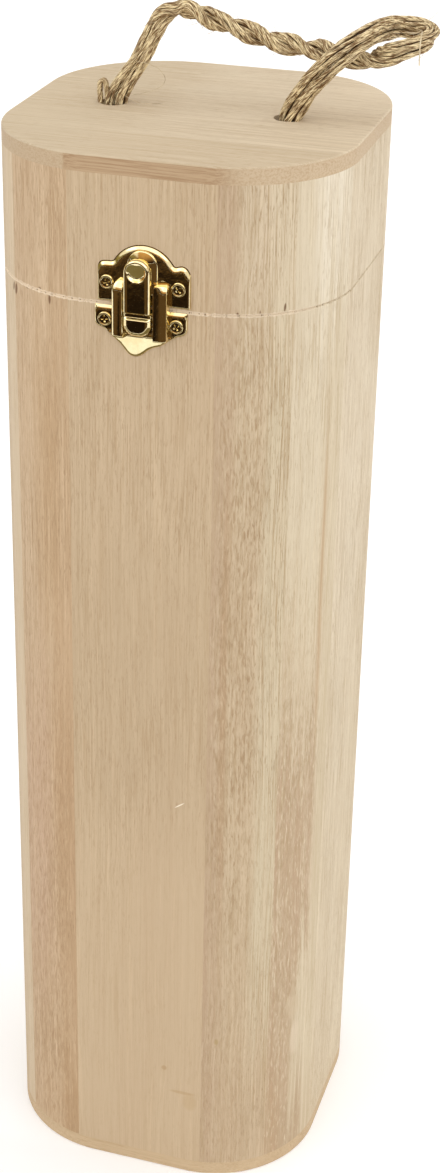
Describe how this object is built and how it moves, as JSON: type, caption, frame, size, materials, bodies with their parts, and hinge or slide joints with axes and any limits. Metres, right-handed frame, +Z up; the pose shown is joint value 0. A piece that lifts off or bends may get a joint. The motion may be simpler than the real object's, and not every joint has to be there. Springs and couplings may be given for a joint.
{
  "type": "wooden bottle box",
  "caption": "Tall rounded wooden box that holds one wine bottle, with a hinged lid, a brass spring catch on the front and a rope handle knotted through the top.",
  "frame": {"origin": "middle of the underside, where the box stands", "axes": "+Z up, -Y the front with the catch, +X to the right as seen from the front"},
  "size_m": [0.1211, 0.1155, 0.3802],
  "materials": {
    "paulownia": "bare sanded",
    "brass_plating": "polished",
    "spring_steel": "plain",
    "jute": "matte"
  },
  "bodies": {
    "case": {"case_back_board": "paulownia", "case_back_left_stave_a": "paulownia", "case_back_left_stave_b": "paulownia", "case_back_right_stave_a": "paulownia", "case_back_right_stave_b": "paulownia", "case_base": "paulownia", "case_front_board": "paulownia", "case_front_left_stave_a": "paulownia", "case_front_left_stave_b": "paulownia", "case_front_right_stave_a": "paulownia", "case_front_right_stave_b": "paulownia", "case_left_board": "paulownia", "case_right_board": "paulownia", "catch_pin": "brass_plating", "catch_plate": "brass_plating", "catch_screws": "brass_plating", "catch_spring": "spring_steel", "hinge_case_leaf": "brass_plating", "hinge_case_screws": "brass_plating", "hinge_pin": "brass_plating"},
    "lid": {"hinge_lid_leaf": "brass_plating", "hinge_lid_screws": "brass_plating", "keeper_plate": "brass_plating", "keeper_screws": "brass_plating", "left_rope_knot": "jute", "lid_back_board": "paulownia", "lid_back_left_stave_a": "paulownia", "lid_back_left_stave_b": "paulownia", "lid_back_right_stave_a": "paulownia", "lid_back_right_stave_b": "paulownia", "lid_front_board": "paulownia", "lid_front_left_stave_a": "paulownia", "lid_front_left_stave_b": "paulownia", "lid_front_right_stave_a": "paulownia", "lid_front_right_stave_b": "paulownia", "lid_left_board": "paulownia", "lid_right_board": "paulownia", "lid_top": "paulownia", "right_rope_knot": "jute", "rope_handle": "jute"},
    "catch_lever": {"catch_lever": "brass_plating"}
  },
  "joints": [
    {"name": "lid_hinge", "type": "hinge", "parent": "case", "child": "lid", "pos_m": [0, 0.0553, 0.3082], "axis": [-1, 0, 0], "range_deg": [0, 180]},
    {"name": "catch_lever_pivot", "type": "hinge", "parent": "case", "child": "catch_lever", "pos_m": [0.0003, -0.0558, 0.307], "axis": [1, 0, 0], "range_deg": [0, 25], "stiffness_Nm_per_rad": 0.02, "springref_deg": -17.19, "deforming": ["catch_spring"]}
  ]
}
